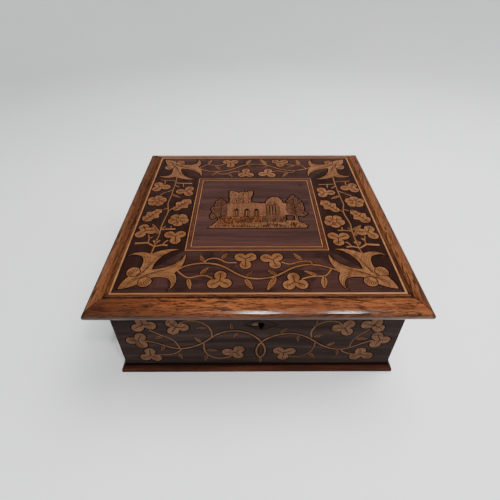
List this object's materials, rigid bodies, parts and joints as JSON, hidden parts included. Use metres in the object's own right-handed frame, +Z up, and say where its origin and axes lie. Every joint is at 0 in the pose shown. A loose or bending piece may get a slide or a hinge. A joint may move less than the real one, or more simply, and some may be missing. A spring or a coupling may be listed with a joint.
{
  "type": "marquetry box",
  "caption": "Square wooden marquetry box with a hinged moulded lid, inlaid with shamrocks, fronds and a ruined abbey, on a rounded plinth, with a lozenge keyhole.",
  "frame": {"origin": "centre of the footprint, on the surface the box stands on", "axes": "+Z up through the lid; the front with the keyhole faces -Y and the hinges are at +Y; +X to the right seen from the front"},
  "size_m": [0.28, 0.28, 0.102],
  "materials": {
    "carcase_wood": "satin",
    "plinth_wood": "polished",
    "moulding_wood": "polished",
    "case_ground": "polished",
    "border_ground": "polished",
    "side_ground": "polished",
    "centre_ground": "polished",
    "lid_inlay": "polished",
    "case_inlay": "polished",
    "string_wood": "polished",
    "band_wood": "polished",
    "dark_lozenge": "polished",
    "hardware_brass": "aged",
    "lock_iron": "aged"
  },
  "bodies": {
    "carcase": {"front_board": "carcase_wood", "back_board": "carcase_wood", "left_board": "carcase_wood", "right_board": "carcase_wood", "base_board": "carcase_wood", "plinth_front": "plinth_wood", "plinth_back": "plinth_wood", "plinth_left": "plinth_wood", "plinth_right": "plinth_wood", "front_veneer": "case_ground", "back_veneer": "case_ground", "left_veneer": "case_ground", "right_veneer": "case_ground", "front_shamrock_inlay": "case_inlay", "front_vine_inlay": "case_inlay", "escutcheon": "dark_lozenge", "lock_case": "lock_iron", "hinge_left_case_leaf": "hardware_brass", "hinge_right_case_leaf": "hardware_brass", "hinge_left_pin": "lock_iron", "hinge_right_pin": "lock_iron"},
    "lid": {"lid_board": "carcase_wood", "lid_moulding_front": "moulding_wood", "lid_moulding_back": "moulding_wood", "lid_moulding_left": "moulding_wood", "lid_moulding_right": "moulding_wood", "lid_border_front": "border_ground", "lid_border_back": "border_ground", "lid_border_left": "side_ground", "lid_border_right": "side_ground", "lid_centre_veneer": "centre_ground", "lid_outer_string": "string_wood", "lid_frame_string": "string_wood", "lid_inner_string": "string_wood", "lid_frame_band": "band_wood", "lid_shamrock_inlay": "lid_inlay", "lid_rose_inlay": "lid_inlay", "lid_oak_leaf_inlay": "lid_inlay", "lid_frond_inlay": "lid_inlay", "lid_vine_inlay": "lid_inlay", "lid_vignette_inlay": "lid_inlay", "lock_strike": "hardware_brass", "hinge_left_lid_leaf": "hardware_brass", "hinge_right_lid_leaf": "hardware_brass"},
    "bolt": {"lock_bolt": "hardware_brass"}
  },
  "joints": [
    {"name": "lid_hinge", "type": "hinge", "parent": "carcase", "child": "lid", "pos_m": [0, 0.1284, 0.0886], "axis": [-1, 0, 0], "range_deg": [0, 105]},
    {"name": "bolt_slide", "type": "slide", "parent": "carcase", "child": "bolt", "axis": [1, 0, 0], "range_m": [0, 0.0035]}
  ]
}
